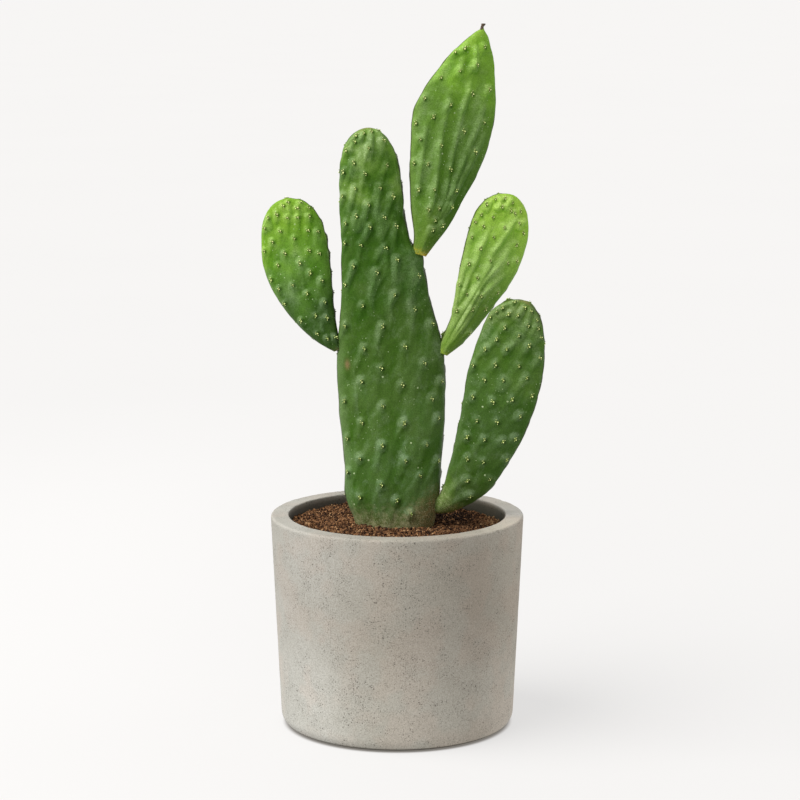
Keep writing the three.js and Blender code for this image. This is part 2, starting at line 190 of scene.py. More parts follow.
PADS["right_pad"] = dict(
    joint=(31.4, 0, 268.6), lean=22, tilt=-9, twist=18, bow=3, thickness=(13, 12), tip=9,
    outline=[
        (-3.4, -2), (-3, 10), (-3.1, 28), (-7.7, 48), (-11.4, 67), (-14.5, 86), (-14.6, 101), (-9.9, 112.7),
        (-2.5, 118.7), (7, 121.2), (15.4, 117.8), (22.8, 110.5), (28.7, 97.8), (30.9, 81), (29.8, 63), (25, 44),
        (19.2, 26), (12.4, 10), (5, -2),
    ],
    columns=10, spacing=(19, 9), first_areole=14, swell=0.45,
    cell=0.7, mound_radius=4.0, mound=1.0, tail=1.6, ridge=0.6, ridge_reach=10, wave=0.5, crest=2.6,
    slot="young_pad", shaded=0.6, cork=0.045, foot=(0.33, 0.46, 0.035), wool=(0.6, 1.0), spots=0.65, waxy=0.78,
    tones=[
        (0.02, (0.18, 0.308, 0.046)), (0.25, (0.205, 0.35, 0.058)), (0.6, (0.245, 0.44, 0.062)),
        (0.85, (0.3, 0.52, 0.058)), (1.0, (0.325, 0.53, 0.06)),
    ],
    seen=[
        (13, 19), (-1, 30), (8, 35), (18, 39), (0, 44), (10, 46), (-6, 48), (22, 53), (3, 57), (-6, 64), (7, 72),
        (20, 75), (-3, 77), (26, 79), (-11, 82), (3, 88), (21, 89), (-7, 92), (-13, 93), (7, 97), (-11, 99), (23, 99),
        (-3, 101), (16, 104), (-10, 107), (10, 109), (0, 110), (7, 110), (14, 112), (-6, 113), (6, 115), (0, 116),
    ],
    folds=[
        [(-1, 5), (1, 23), (4, 41), (8, 63), (10, 84)], [(1, 5), (6, 32), (8, 52), (15, 73), (19, 94)],
        [(4, 6), (9, 29), (13, 50), (24, 70)], [(-2, 31), (-2, 53), (-2, 75), (-2, 99)],
        [(6, 70), (10, 90), (13, 110)], [(-2, 19), (-5, 45), (-8, 64)], [(-8, 112), (-9, 101)],
        [(-2, 117), (-3, 105)], [(4, 119), (3, 107)], [(20, 109), (18, 98)],
    ],
    worn=[(14, 64, 5, 16)],
)
PADS["low_pad"] = dict(
    joint=(30.6, 0, 153), lean=20.5, tilt=12, twist=-12, bow=-3, thickness=(18, 14), tip=10,
    outline=[
        (-9.5, 6), (-5.2, 13), (-5.2, 21), (-6.8, 34), (-10.7, 62), (-16.2, 90), (-20.8, 116), (-22.3, 138),
        (-19.6, 156), (-10.8, 165.6), (-1.5, 168.6), (7.4, 166.2), (15.4, 159), (23, 145.6), (29.7, 125), (33.5, 102),
        (33.9, 78), (31.4, 52), (26.8, 31), (17.4, 14.7), (8, 4), (0, -1.6), (-6, -3),
    ],
    columns=10, spacing=(19, 13), first_areole=14, swell=0.2,
    cell=0.78, mound_radius=4.8, mound=1.25, tail=1.5, ridge=1.1, ridge_reach=11, wave=0.7, crest=1.0,
    slot="mid_pad", shaded=0.1, cork=0.125, foot=(0.27, 0.39, 0.125), wool=(0.35, 1.0), spots=0.8, waxy=1.02,
    tones=[
        (0.03, (0.105, 0.19, 0.035)), (0.1, (0.082, 0.148, 0.034)), (0.18, (0.073, 0.14, 0.029)),
        (0.45, (0.051, 0.111, 0.019)), (0.65, (0.057, 0.125, 0.019)), (0.85, (0.078, 0.156, 0.021)),
        (1.0, (0.1, 0.172, 0.03)),
    ],
    seen=[
        (16, 24), (10, 34), (24, 41), (4, 49), (15, 52), (29, 59), (-2, 64), (10, 68), (22, 72), (29, 76), (0, 78),
        (13, 83), (26, 93), (-9, 93), (5, 96), (17, 103), (-6, 108), (28, 110), (6, 113), (-17, 114), (20, 121),
        (-3, 121), (12, 127), (-14, 128), (0, 135), (23, 137), (-9, 138), (13, 143), (4, 147), (22, 147), (-7, 148),
        (-19, 150), (7, 156), (-13, 160), (11, 161), (-7, 166), (-2, 160), (0, 166), (5, 165), (14, 156), (-16, 156),
        (-8, 158), (18, 151),
    ],
    folds=[
        [(-12, 163), (-13, 151)], [(-6, 166), (-7, 154)], [(0, 167), (0, 153)], [(6, 165), (6, 154)],
        [(12, 160), (11, 148)], [(18, 153), (16, 141)], [(3, 142), (-1, 128)], [(12, 118), (7, 102)],
    ],
    worn=[(-19, 140, 4, 14), (4, 150, 5, 9)],
)


# ---- Small helpers ----


def share(low, high, value):
    """0 at `low`, 1 at `high`, whichever is the larger, and smooth between."""
    x = np.clip((value - low) / (high - low), 0, 1)
    return x * x * (3 - 2 * x)


def mix(pair, part):
    return pair[0] + (pair[1] - pair[0]) * part


def hash_of(n):
    """A repeatable number from 0 to 1 for a whole number."""
    s = math.sin(n * 12.9898 + 4.1414) * 43758.5453
    return s - math.floor(s)


def soft_noise(points, size, seed=0.0):
    """Noise from -1 to 1 in lumps of about `size`, for each point."""
    moved = points / size + seed
    return np.array([noise.noise(Vector(p)) for p in moved])


def coordinates(mesh):
    co = np.empty(len(mesh.vertices) * 3)
    mesh.vertices.foreach_get("co", co)
    return co.reshape(-1, 3)


def normals(mesh):
    found = np.empty(len(mesh.vertices) * 3, np.float32)
    mesh.vertex_normals.foreach_get("vector", found)
    return found.reshape(-1, 3).astype(float)


def set_coordinates(mesh, points):
    mesh.vertices.foreach_set("co", np.ascontiguousarray(points, np.float32).ravel())
    mesh.update()


def set_attributes(mesh, **attributes):
    for name, values in attributes.items():
        values = np.ascontiguousarray(values, np.float32)
        if values.ndim == 1:
            mesh.attributes.new(name, "FLOAT", "POINT").data.foreach_set("value", values)
        else:
            mesh.attributes.new(name, "FLOAT_VECTOR", "POINT").data.foreach_set("vector", values.ravel())


def mesh_from(bm, name, outward=True):
    if outward:
        bmesh.ops.recalc_face_normals(bm, faces=bm.faces)
    mesh = bpy.data.meshes.new(name)
    bm.to_mesh(mesh)
    bm.free()
    mesh.shade_smooth()
    return mesh


def added(name, data):
    """A new object of the scene."""
    made = bpy.data.objects.new(name, data)
    bpy.context.scene.collection.objects.link(made)
    return made


def place(mesh, name, material, nodes=()):
    """Shows a mesh, shaped in mm, as a piece of the object."""
    set_coordinates(mesh, coordinates(mesh) * MM)
    piece = added(name, mesh)
    mesh.materials.append(material)
    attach(piece, "root")
    if nodes:
        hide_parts(*nodes)


# ---- The shape of a pad ----


def curve_through(points):
    """A smooth curve through the points: the lengths along it, and its points as a function of a share of them."""
    p = np.array(points, float)
    ends = np.vstack([2 * p[0] - p[1], p, 2 * p[-1] - p[-2]])
    spans = len(p) - 1

    def at_step(t):
        along = spans * np.atleast_1d(t)
        i = np.clip(np.floor(along).astype(int), 0, spans - 1)
        w = (along - i)[:, None]
        p0, p1, p2, p3 = ends[i], ends[i + 1], ends[i + 2], ends[i + 3]
        d0, d1, d2 = (np.sqrt(np.linalg.norm(a - b, axis=1))[:, None] for a, b in ((p0, p1), (p1, p2), (p2, p3)))
        start = ((p1 - p0) / d0 - (p2 - p0) / (d0 + d1) + (p2 - p1) / d1) * d1
        end = ((p2 - p1) / d1 - (p3 - p1) / (d1 + d2) + (p3 - p2) / d2) * d1
        return p1 + start * w + (-3 * p1 + 3 * p2 - 2 * start - end) * w**2 + (2 * p1 - 2 * p2 + start + end) * w**3

    steps = np.linspace(0, 1, spans * CURVE_SAMPLES + 1)
    run = np.linalg.norm(np.diff(at_step(steps), axis=0), axis=1)
    lengths = np.concatenate([[0], np.cumsum(run)])
    return lengths, lambda part: at_step(np.interp(part * lengths[-1], lengths, steps))


class PadShape:
    """The plain surface of a pad. `rise` is 0 at the joint and 1 at the tip; `turn` goes round its section from
    0 at the right edge, by the back and the left edge, to the front at three quarters."""

    def __init__(self, pad):
        self.pad = pad
        lengths, self.outline = curve_through(pad["outline"])
        self.tip_share = lengths[pad["tip"] * CURVE_SAMPLES] / lengths[-1]
        self.side_length = lengths[-1] / 2
        turns = [Matrix.Rotation(math.radians(pad[key]), 3, axis) for key, axis in
                 (("tilt", "X"), ("lean", "Y"), ("twist", "Z"))]
        self.turned = np.array(turns[0] @ turns[1] @ turns[2])

    def surface(self, rise, turn):
        rise, turn = np.broadcast_arrays(np.atleast_1d(rise), np.atleast_1d(turn))
        left = self.outline(rise * self.tip_share)
        right = self.outline(1 - rise * (1 - self.tip_share))
        across = right - left
        width = np.linalg.norm(across, axis=1)
        half = width / 2
        near_tip = np.clip((rise - TIP_START) / (1 - TIP_START), 0, 1)
        deep = mix(self.pad["thickness"], rise) / 2 * np.sqrt(1 - TIP_THINNING * near_tip**2)
        depth = deep * half / np.hypot(half, deep)
        angle = turn + EDGE_SPREAD * np.sin(2 * turn)
        through = np.sign(np.sin(angle)) * np.abs(np.sin(angle)) ** SECTION_FULLNESS
        flat = (left + right) / 2 + across / np.maximum(width, 1e-9)[:, None] * (half * np.cos(angle))[:, None]
        y = depth * through + self.pad["bow"] * np.sin(math.pi * rise)
        return np.stack([flat[:, 0], y, flat[:, 1]], axis=1)

    def placed(self, points):
        return points @ self.turned.T + np.array(self.pad["joint"])

    def areole_at(self, rise, turn):
        """An areole's place, with the directions up the pad and out of it."""
        centre = self.surface(rise, turn)[0]
        up = self.surface(min(1, rise + 0.01), turn)[0] - self.surface(max(0, rise - 0.01), turn)[0]
        beside = self.surface(rise, turn + 0.05)[0] - self.surface(rise, turn - 0.05)[0]
        up /= np.linalg.norm(up)
        out = np.cross(beside, up)
        out /= np.linalg.norm(out)
        spacing = mix(self.pad["spacing"], rise)
        return dict(rise=rise, centre=centre, up=up, out=out, spacing=spacing)

    def areoles(self, seen):
        """The areoles seen on the front, and columns of them over the rest, every second one half a step higher."""
        pad, found = self.pad, []
        grid = np.meshgrid(np.linspace(0.01, 0.995, 260), np.linspace(math.pi, 2 * math.pi, 121))
        rises, turns = (part.ravel() for part in grid)
        front = self.surface(rises, turns)
        for x, z in seen:
            nearest = np.argmin(np.hypot(front[:, 0] - x, front[:, 2] - z))
            found.append(self.areole_at(rises[nearest], turns[nearest]))
        for column in range(pad["columns"]):
            along, n = pad["first_areole"] + (column % 2) * pad["spacing"][0] / 2, 0
            while along < self.side_length * LAST_AREOLE:
                spacing = mix(pad["spacing"], along / self.side_length)
                seed = column * 97 + n * 13 + len(pad["outline"])
                rise = (along + (hash_of(seed) - 0.5) * 2 * JITTER * spacing) / self.side_length
                turn = (column + 0.5 + (hash_of(seed + 7) - 0.5) * 4 * JITTER) / pad["columns"] * 2 * math.pi
                made = self.areole_at(rise, turn)
                apart = min(np.linalg.norm(made["centre"] - other["centre"]) for other in found)
                least = spacing * (CROWDED if math.sin(turn) > 0 else CROWDED_BY_FRONT)
                if apart > least and math.sin(turn) > COLUMNS_END:
                    found.append(made)
                along += spacing
                n += 1
        return found


# ---- The relief of a pad's skin, in mm ----

FOLD_SIDES = (1.8, 2.8)  # how far a fold reaches to its right and its left
RIDGE_SIDES = (1.7, 3.2)  # and the ridge that runs down from an areole
RIDGE_SLANT = 0.36
NUB_HEIGHT = DENT_DEPTH = 0.45  # the small swelling under an areole, and the dent beside it
WAVES = ((15, 3.1, 1), (6.0, 8.7, 0.4), (2.6, 1.9, 0.14))  # the size, seed and height of each
SKIN_DROP = 0.3  # how far the skin's hollows lie inside the plain surface
BOX_SPARE = 0.05
LIT_SIDE = np.array([-0.55, 0, 0.83])  # painted highlight: what faces up and to the left, towards the light, is paler
SECTION_ROUND = 2.15  # a section's length, in widths of the pad


def in_front(out):
    """1 where the skin faces the front, and 0 at the sides and the back."""
    return share(0.1, 0.5, -out[:, 1])


def fold_lines(points, out, folds):
    """1 along the crest of each fold, fading to 0 at its sides and ends."""
    crest = np.zeros(len(points))
    for fold in folds:
        _, line = curve_through(sorted(fold, key=lambda spot: spot[1]))
        course = line(np.linspace(0, 1, 60))
        slant = np.gradient(course[:, 0], course[:, 1])
        x, z = points[:, 0], points[:, 2]
        away = (x - np.interp(z, course[:, 1], course[:, 0])) / np.hypot(1, np.interp(z, course[:, 1], slant))
        along = (z - course[0, 1]) / (course[-1, 1] - course[0, 1])
        fade = share(-0.05, 0.25, along) * share(1.05, 0.7, along) * in_front(out)
        crest = np.maximum(crest, np.exp(-((away / np.where(away > 0, *FOLD_SIDES)) ** 2)) * fade)
    return crest


def patches(points, out, places):
    """1 in the middle of each pale patch (bloom, partly painted highlight) or scar of the front, fading round it."""
    found = np.zeros(len(points))
    for x, z, wide, high in places:
        found = np.maximum(found, np.exp(-(((points[:, 0] - x) / wide) ** 2) - ((points[:, 2] - z) / high) ** 2))
    return found * in_front(out)


def bump(x, y, size):
    return np.exp(-((np.hypot(x, y) / size) ** 2))


def pad_relief(pad, points, out, rise, turn, areoles):
    """At each point, how far the skin stands out, how dark a spot is there (partly painted shadow) and how near a
    fold's crest is.
    """
    fade = np.sin(turn) ** 2 * np.sin(math.pi * np.clip(rise, 0, 1) ** 0.6) ** 2
    swell = pad["swell"] * fade * np.cos(SWELLS * turn + SWELL_DRIFT * rise)
    crest = fold_lines(points, out, pad["folds"]) * (0.75 + 0.5 * soft_noise(points, 11, 6.3))
    mound, ridge, nub, dent, ring, spot = (np.zeros(len(points)) for _ in range(6))
    for n, areole in enumerate(areoles):
        away = points - areole["centre"]
        close = (np.linalg.norm(away, axis=1) < 2.2 * pad["ridge_reach"]) & (out @ areole["out"] > 0.1)
        close = np.nonzero(close)[0]
        up, side = away[close] @ areole["up"], away[close] @ np.cross(areole["up"], areole["out"])
        crowd = min(1.0, areole["spacing"] / mix(pad["spacing"], 0.5))
        scale = (0.4 + 0.9 * hash_of(n * 3 + 1)) * crowd
        radius = pad["mound_radius"] * (0.6 + 0.4 * crowd)
        reach_down = pad["ridge_reach"] * (0.6 + 0.8 * hash_of(n * 5 + 3))
        # a ridge runs down from the areole, a little to the left and steeper at its right
        drift = side - (RIDGE_SLANT + 0.3 * (hash_of(n * 7 + 2) - 0.5)) * up
        steep = np.where(drift > 0, *RIDGE_SIDES)
        down = np.hypot(side + 0.5, np.where(up < 0, up / pad["tail"], up)) / radius
        fall = share(2, -3, up) * share(-1.6 * reach_down, -0.4 * reach_down, up)
        for kind, shape in (
            (mound, scale * np.clip(1 - down**2, 0, 1) ** 1.5),
            (ridge, scale * np.exp(-((drift / steep) ** 2)) * fall),
            (nub, crowd * bump(side + 0.4, up - 0.5, 1.7)),
            (dent, crowd * bump(side - 1.1, up + 0.9, 1.2)),
            # a dark ring at the areole and a dark spot below and to its right: partly the areole's own dark felt,
            # partly painted shadow of its mound
            (ring, bump(side - 0.4, (up + 0.3) / 1.4, 1.9)),
            (spot, bump(side - 1.3, (up + 1.0) / 1.3, 1.2)),
        ):
            kind[close] = np.maximum(kind[close], shape)
    # waves that follow the pad's length, and less of everything at the joint, the edges and the crown
    slanted = np.stack([points[:, 0] - 0.4 * points[:, 2], points[:, 1], 0.5 * points[:, 2]], axis=1)
    wave = sum(high * soft_noise(slanted, size, seed) for size, seed, high in WAVES)
    calm = share(0.0, 0.06, rise) * (1 - 0.25 * share(0.9, 1.0, np.abs(np.cos(turn))))
    calm *= 1 - 0.4 * share(0.93, 1.0, rise)
    upper = 0.3 + 0.7 * share(0.35, 0.75, rise)
    height = swell + pad["crest"] * crest + pad["mound"] * mound
    height = height + pad["ridge"] * upper * ridge * (1 - 0.6 * mound)
    height = (height + NUB_HEIGHT * nub - DENT_DEPTH * dent + pad["wave"] * wave) * calm - SKIN_DROP
    return height, pad["spots"] * np.maximum(0.45 * ring, spot), crest


def held_in(points):
    """The points, none of them outside the solids' box."""
    low, high = np.array([CAD_LO, CAD_HI]) / MM
    return np.clip(points, low + BOX_SPARE, high - BOX_SPARE)


def add_pad(name, material, tuft_material):
    """A pad's skin with its relief, and its areoles."""
    pad = PADS[name]
    shape = PadShape(pad)
    widest = max(x for x, z in pad["outline"]) - min(x for x, z in pad["outline"])
    around = int(SECTION_ROUND * widest / pad["cell"] / 2) * 2
    rings = int(shape.side_length / pad["cell"])
    bm = bmesh.new()
    bmesh.ops.create_uvsphere(bm, u_segments=around, v_segments=rings + 1, radius=1)
    mesh = mesh_from(bm, "skin_" + name)
    ball = coordinates(mesh)
    polar = np.arccos(np.clip(-ball[:, 2], -1, 1))
    rise = np.clip((polar / math.pi * (rings + 1) - 1) / rings, 0, 1)
    turn = np.arctan2(ball[:, 1], ball[:, 0]) % (2 * math.pi)
    points = shape.surface(rise, turn)
    neck = ball[:, 2] < -0.9999999
    points[neck] = (shape.surface(0, 0) + shape.surface(0, math.pi)) / 2
    set_coordinates(mesh, points)
    out = normals(mesh)
    areoles = shape.areoles(pad["seen"])
    height, spot, crest = pad_relief(pad, points, out, rise, turn, areoles)
    set_coordinates(mesh, points + out * height[:, None])
    slope = (normals(mesh) - out) @ LIT_SIDE
    set_coordinates(mesh, held_in(shape.placed(coordinates(mesh))))
    # Painted light on the skin: slopes that face up and to the left, towards the light, are paler (painted highlight
    # with the pale bloom), slopes that face away are darker (painted shade), and the height level makes high ground
    # paler and hollows darker (painted highlight and shade).
    bloom = share(0.02, 0.32, slope) * share(0.0, 0.12, rise) * (1 - 0.3 * share(0.7, 0.92, rise))
    bloom = np.maximum(bloom, 1.1 * patches(points, out, pad["worn"]))
    scar = patches(points, out, pad.get("scars", ()))
    level = (height - height.mean()) / height.std()
    high = np.clip(0.5 + 0.2 * level + 0.25 * crest, 0, 1)
    set_attributes(mesh, grown=points / 10, rise=rise, across=np.cos(turn), spot=spot, bloom=bloom, scar=scar,
                   shade=share(0.02, 0.34, -slope), high=high)
    place(mesh, "skin_" + name, material, [name])
    add_areoles(name, shape, areoles, points, height, tuft_material)


# ---- The areoles and the dried tip ----

CUSHION = (1, 1.5, 0.3)  # its half width, half length and height
BRISTLES = ((0.5, -0.5, 0.62), (-0.6, -1.5, 0.36), (-0.7, 0.8, 0.44), (0.5, 1.7, 0.34))  # place and radius
BRISTLE_LEVEL = 0.32
TUFT_SIZES = (0.75, 1.1)
CLOSE_SPACING, CLOSE_SIZE = 14, 0.95  # tufts that stand closer than this are smaller by this factor
FIRST_BEAD_TINTS = (0.7, 1.0)
TUFT_SINK = 0.05
LOWEST_TUFT = 0.02  # no tufts below this share of the pad's height
DRY_TIP_FOOT, DRY_TIP_HEIGHT = (-2.3, 158.6), 6.2


def tuft_mesh():
    """One areole: a small flat cushion of wool and a cluster of four blunt beads of bristle, under 1 mm high."""
    bm = bmesh.new()
    made = bmesh.ops.create_icosphere(bm, subdivisions=1, radius=1.0)
    bmesh.ops.scale(bm, vec=CUSHION, verts=made["verts"])
    for x, y, size in BRISTLES:
        made = bmesh.ops.create_uvsphere(bm, u_segments=5, v_segments=3, radius=size)
        bmesh.ops.translate(bm, vec=(x, y, BRISTLE_LEVEL), verts=made["verts"])
    return mesh_from(bm, "tuft")


def copies_of(template, name, count):
    """One mesh with `count` copies of the template, which goes, and its coordinates as an array of a row for each."""
    bm = bmesh.new()
    for _ in range(count):
        bm.from_mesh(template)
    bpy.data.meshes.remove(template)
    mesh = mesh_from(bm, name, outward=False)
    return mesh, coordinates(mesh).reshape(count, -1, 3)


def add_areoles(name, shape, areoles, skin_points, height, material):
    """A tuft on each areole, each of its own size, turn and tints."""
    chosen = [areole for areole in areoles if areole["rise"] > LOWEST_TUFT]
    mesh, rows = copies_of(tuft_mesh(), "areoles_" + name, len(chosen))
    levels = rows[..., 2].flatten()
    rng = random.Random(len(name) * 7)
    tint = np.zeros(rows.shape[:2])
    for n, areole in enumerate(chosen):
        skin = np.argmin(np.linalg.norm(skin_points - areole["centre"], axis=1))
        side = np.cross(areole["up"], areole["out"])
        axes = np.stack([side, areole["up"], areole["out"]])
        spin = np.array(Matrix.Rotation(rng.uniform(-0.3, 1.0), 3, "Z"))
        size = rng.uniform(*TUFT_SIZES) * (CLOSE_SIZE if areole["spacing"] < CLOSE_SPACING else 1)
        rows[n] = (rows[n] * size) @ spin.T @ axes + areole["centre"] + areole["out"] * (height[skin] - TUFT_SINK)
        tints = [rng.uniform(*shape.pad["wool"]) for _ in range(1 + len(BRISTLES))]
        tints[1] = rng.uniform(*FIRST_BEAD_TINTS)
        tint[n] = np.repeat(tints, tint.shape[1] // len(tints))
    set_coordinates(mesh, held_in(shape.placed(rows.reshape(-1, 3))))
    set_attributes(mesh, tint=tint.ravel(), tuft_height=levels)
    place(mesh, "areoles_" + name, material)


def add_dry_tip(material):
    """The brown dried end on the pointed pad: a short stalk that leans a little and is blunt at its top."""
    shape = PadShape(PADS["top_pad"])
    bm = bmesh.new()
    bmesh.ops.create_cone(bm, cap_ends=True, segments=14, radius1=1.7, radius2=1.35, depth=1)
    walls = [edge for edge in bm.edges if abs(edge.verts[0].co.z - edge.verts[1].co.z) > 0.5]
    bmesh.ops.subdivide_edges(bm, edges=walls, cuts=12, use_grid_fill=True)
    mesh = mesh_from(bm, "dry_tip")
    points = coordinates(mesh)
    up = points[:, 2] + 0.5
    narrow = 1.0 - 0.35 * np.sin(math.pi * np.clip(up, 0, 1)) + 0.25 * share(0.6, 0.9, up)
    narrow = narrow - 0.45 * share(0.88, 1.0, up)
    rough = 1 + 0.22 * soft_noise(np.stack([points[:, 0], points[:, 1], up * 5], axis=1), 1.0, 2.0)
    points[:, :2] *= (narrow * rough)[:, None]
    points[:, 0] += DRY_TIP_FOOT[0] - 0.5 * np.sin(math.pi * up) + 0.1 * up
    points[:, 2] = DRY_TIP_FOOT[1] + DRY_TIP_HEIGHT * up
    set_coordinates(mesh, held_in(shape.placed(points)))
    place(mesh, "dry_tip", material)


# ---- The pot and the soil ----

MOUTH_RADIUS = RIM_RADIUS - RIM_WALL
OUTER_SLOPE = math.atan2(RIM_RADIUS - BASE_RADIUS, POT_HEIGHT)
INNER_SLOPE = math.atan2(MOUTH_RADIUS - FLOOR_RADIUS, POT_HEIGHT - FLOOR_THICKNESS)
FLOOR_CORNER = (FLOOR_RADIUS - FLOOR_ROUND, FLOOR_THICKNESS + FLOOR_ROUND)  # the middle of its round
POT_CELL, POT_STEPS = 3, 240
SOIL_RINGS, SOIL_STEPS = 76, 200
SOIL_DROP = 1.0  # how far the bed lies under the solid's top, to leave room for crumbs
STEM_MIDDLE, STEM_REACH = (0, 0.5), (26, 17)  # no crumbs lie within the stem
# where a painted shadow darkens the crumbs, and where painted light makes them paler
DAMP_PLACE, DAMP_REACH = (39, 30), (22, 24)
DRY_PLACE, DRY_REACH = (68, 20), (13, 16)
CRUMBS = {"soil_crumbs": (2.1, 0.65, 1.2), "soil_fine_crumbs": (1.55, 0.35, 0.7)}  # their pitch and radii


def arc(x, z, radius, start, end, steps=8):
    turns = np.linspace(start, end, steps)
    return [(x + radius * math.cos(t), z + radius * math.sin(t)) for t in turns]


def divided(profile, longest):
    """The profile with points added, so that no step in it is longer than `longest`."""
    made = []
    for (x0, z0), (x1, z1) in zip(profile, profile[1:]):
        count = max(1, math.ceil(math.hypot(x1 - x0, z1 - z0) / longest))
        made += [(x0 + (x1 - x0) * n / count, z0 + (z1 - z0) * n / count) for n in range(count)]
    return made + [profile[-1]]


def lathed(profile, steps, name, closed):
    """A mesh that a profile sweeps out in a full turn about the Z axis."""
    bm = bmesh.new()
    rim = [bm.verts.new((x, 0, z)) for x, z in profile]
    edges = [bm.edges.new(pair) for pair in zip(rim, rim[1:])]
    if closed:
        edges.append(bm.edges.new((rim[-1], rim[0])))
    bmesh.ops.spin(
        bm, geom=rim + edges, axis=(0, 0, 1), cent=(0, 0, 0), angle=2 * math.pi, steps=steps, use_merge=True,
    )
    bmesh.ops.remove_doubles(bm, verts=bm.verts, dist=1e-4)
    return mesh_from(bm, name)


def add_pot(material):
    quarter = math.pi / 2
    profile = [(DRAIN_RADIUS, FOOT_RECESS), (FOOT_INNER_RADIUS, FOOT_RECESS), (FOOT_INNER_RADIUS + FOOT_RECESS, 0)]
    profile += arc(BASE_RADIUS - HEEL_ROUND, HEEL_ROUND, HEEL_ROUND, -quarter, -OUTER_SLOPE, 12)
    lip = LIP_ROUND_OUTER
    profile += arc(RIM_RADIUS - lip, POT_HEIGHT - lip, lip, -OUTER_SLOPE, quarter)
    lip = LIP_ROUND_INNER
    profile += arc(MOUTH_RADIUS + lip, POT_HEIGHT - lip, lip, quarter, math.pi - INNER_SLOPE)
    profile += arc(*FLOOR_CORNER, FLOOR_ROUND, -INNER_SLOPE, -quarter)
    profile += [(DRAIN_RADIUS, FLOOR_THICKNESS)]
    mesh = lathed(divided(profile, POT_CELL), POT_STEPS, "concrete_pot", closed=True)
    points, out = coordinates(mesh), normals(mesh)
    uneven = 0.1 * soft_noise(points, 14, 5.0) + 0.05 * soft_noise(points, 4, 1.0)
    chips = share(POT_HEIGHT - 4, POT_HEIGHT, points[:, 2]) * np.clip(soft_noise(points, 5, 2.0) - 0.25, 0, 1)
    raised = (np.minimum(uneven, 0.12) - 0.12 - 0.8 * chips) * share(0.5, 6, points[:, 2])
    set_coordinates(mesh, points + out * raised[:, None])
    inside = share(MOUTH_RADIUS + LIP_ROUND_INNER, MOUTH_RADIUS - 0.6, np.hypot(points[:, 0], points[:, 1]))
    set_attributes(mesh, inside=inside * share(POT_HEIGHT + 1, POT_HEIGHT - 4, points[:, 2]))
    place(mesh, "concrete_pot", material, ["pot"])


def soil_height(x, y):
    dip = -1.6 * np.tanh((x - 20) / 30)
    clods = np.sin(x * 0.47 + 1.3 * np.sin(y * 0.31)) + np.sin(y * 0.53 + 1.7 * np.sin(x * 0.29 + 2))
    return SOIL_LEVEL + dip + 0.5 * clods


def add_soil(bed_material, crumb_material):
    wall = FLOOR_RADIUS + (SOIL_LEVEL - FLOOR_THICKNESS) * math.tan(INNER_SLOPE) - GAP
    profile = [(0, FLOOR_THICKNESS + GAP)]
    profile += arc(*FLOOR_CORNER, FLOOR_ROUND - GAP, -math.pi / 2, -INNER_SLOPE, 5)
    profile += [(wall, SOIL_LEVEL - 1.5)]
    profile += [(wall * ring / SOIL_RINGS, SOIL_LEVEL - 0.8) for ring in range(SOIL_RINGS - 1, -1, -1)]
    mesh = lathed(profile, SOIL_STEPS, "soil_bed", closed=False)
    points = coordinates(mesh)
    top = points[:, 2] > SOIL_LEVEL - 2
    lumps = 0.7 * soft_noise(points[top], 3.2, 4.0) + 0.5 * soft_noise(points[top], 1.4, 9.0)
    points[top, 2] = soil_height(points[top, 0], points[top, 1]) - SOIL_DROP + lumps
    set_coordinates(mesh, points)
    place(mesh, "soil_bed", bed_material, ["soil"])
    for name in CRUMBS:
        add_crumbs(name, crumb_material, wall)


def crumb_mesh():
    bm = bmesh.new()
    bmesh.ops.create_icosphere(bm, subdivisions=1, radius=1)
    return mesh_from(bm, "crumb")


def distance_from(spots, middle, reach):
    """The square of each spot's distance from a place, in that place's own radii."""
    return (((spots[:, :2] - middle) / reach) ** 2).sum(axis=1)


def add_crumbs(name, material, wall):
    """Loose crumbs over the whole bed, in a shaken grid."""
    rng = np.random.default_rng(11)
    pitch, low, high = CRUMBS[name]
    grid = np.arange(-wall, wall, pitch)
    x, y = (part.ravel() + rng.uniform(-0.5, 0.5, part.size) * pitch for part in np.meshgrid(grid, grid))
    size = rng.uniform(low, high, len(x))
    spots = np.stack([x, y, size], axis=1)
    spots = spots[(np.hypot(x, y) < wall - size) & (distance_from(spots, STEM_MIDDLE, STEM_REACH) > 1)]
    mesh, rows = copies_of(crumb_mesh(), name, len(spots))
    stretch = rng.uniform(0.4, 1.4, (len(spots), 1, 3))
    rough = rng.uniform(0.75, 1.15, rows.shape[:2] + (1,))
    turned = np.array([np.array(Matrix.Rotation(a, 3, Vector(v))) for a, v in
                       zip(rng.uniform(0, 6.28, len(spots)), rng.normal(size=(len(spots), 3)))])
    rows = np.einsum("nij,nkj->nki", turned, rows * rough * stretch) * spots[:, None, 2:3]
    lift = rng.uniform(-0.5, 0.7, len(spots))
    rows[..., :2] += spots[:, None, :2]
    rows[..., 2] += (soil_height(spots[:, 0], spots[:, 1]) - 0.9 + lift)[:, None]
    set_coordinates(mesh, rows.reshape(-1, 3))
    tint = rng.random(len(spots)) ** 1.3 * (0.25 + 0.75 * (lift + 0.5) / 1.2)
    # painted shadow on the crumbs under the low pad, and painted light on the crumbs at the right
    damp = np.exp(-(distance_from(spots, DAMP_PLACE, DAMP_REACH) ** 2))
    dry = np.exp(-distance_from(spots, DRY_PLACE, DRY_REACH))
    tint = np.minimum((tint + 0.25 * dry) * (1 + 0.4 * dry), 1) * (1 - 0.97 * damp)
    set_attributes(mesh, tint=np.repeat(tint, rows.shape[1]))
    place(mesh, name, material)


# ---- Materials ----


def feed(made, feeds):
    """Sets a node's inputs, each to a value or to another node's output."""
    for key, value in feeds.items():
        if isinstance(value, bpy.types.NodeSocket):
            made.id_data.links.new(value, made.inputs[key])
        else:
            made.inputs[key].default_value = value
    return made


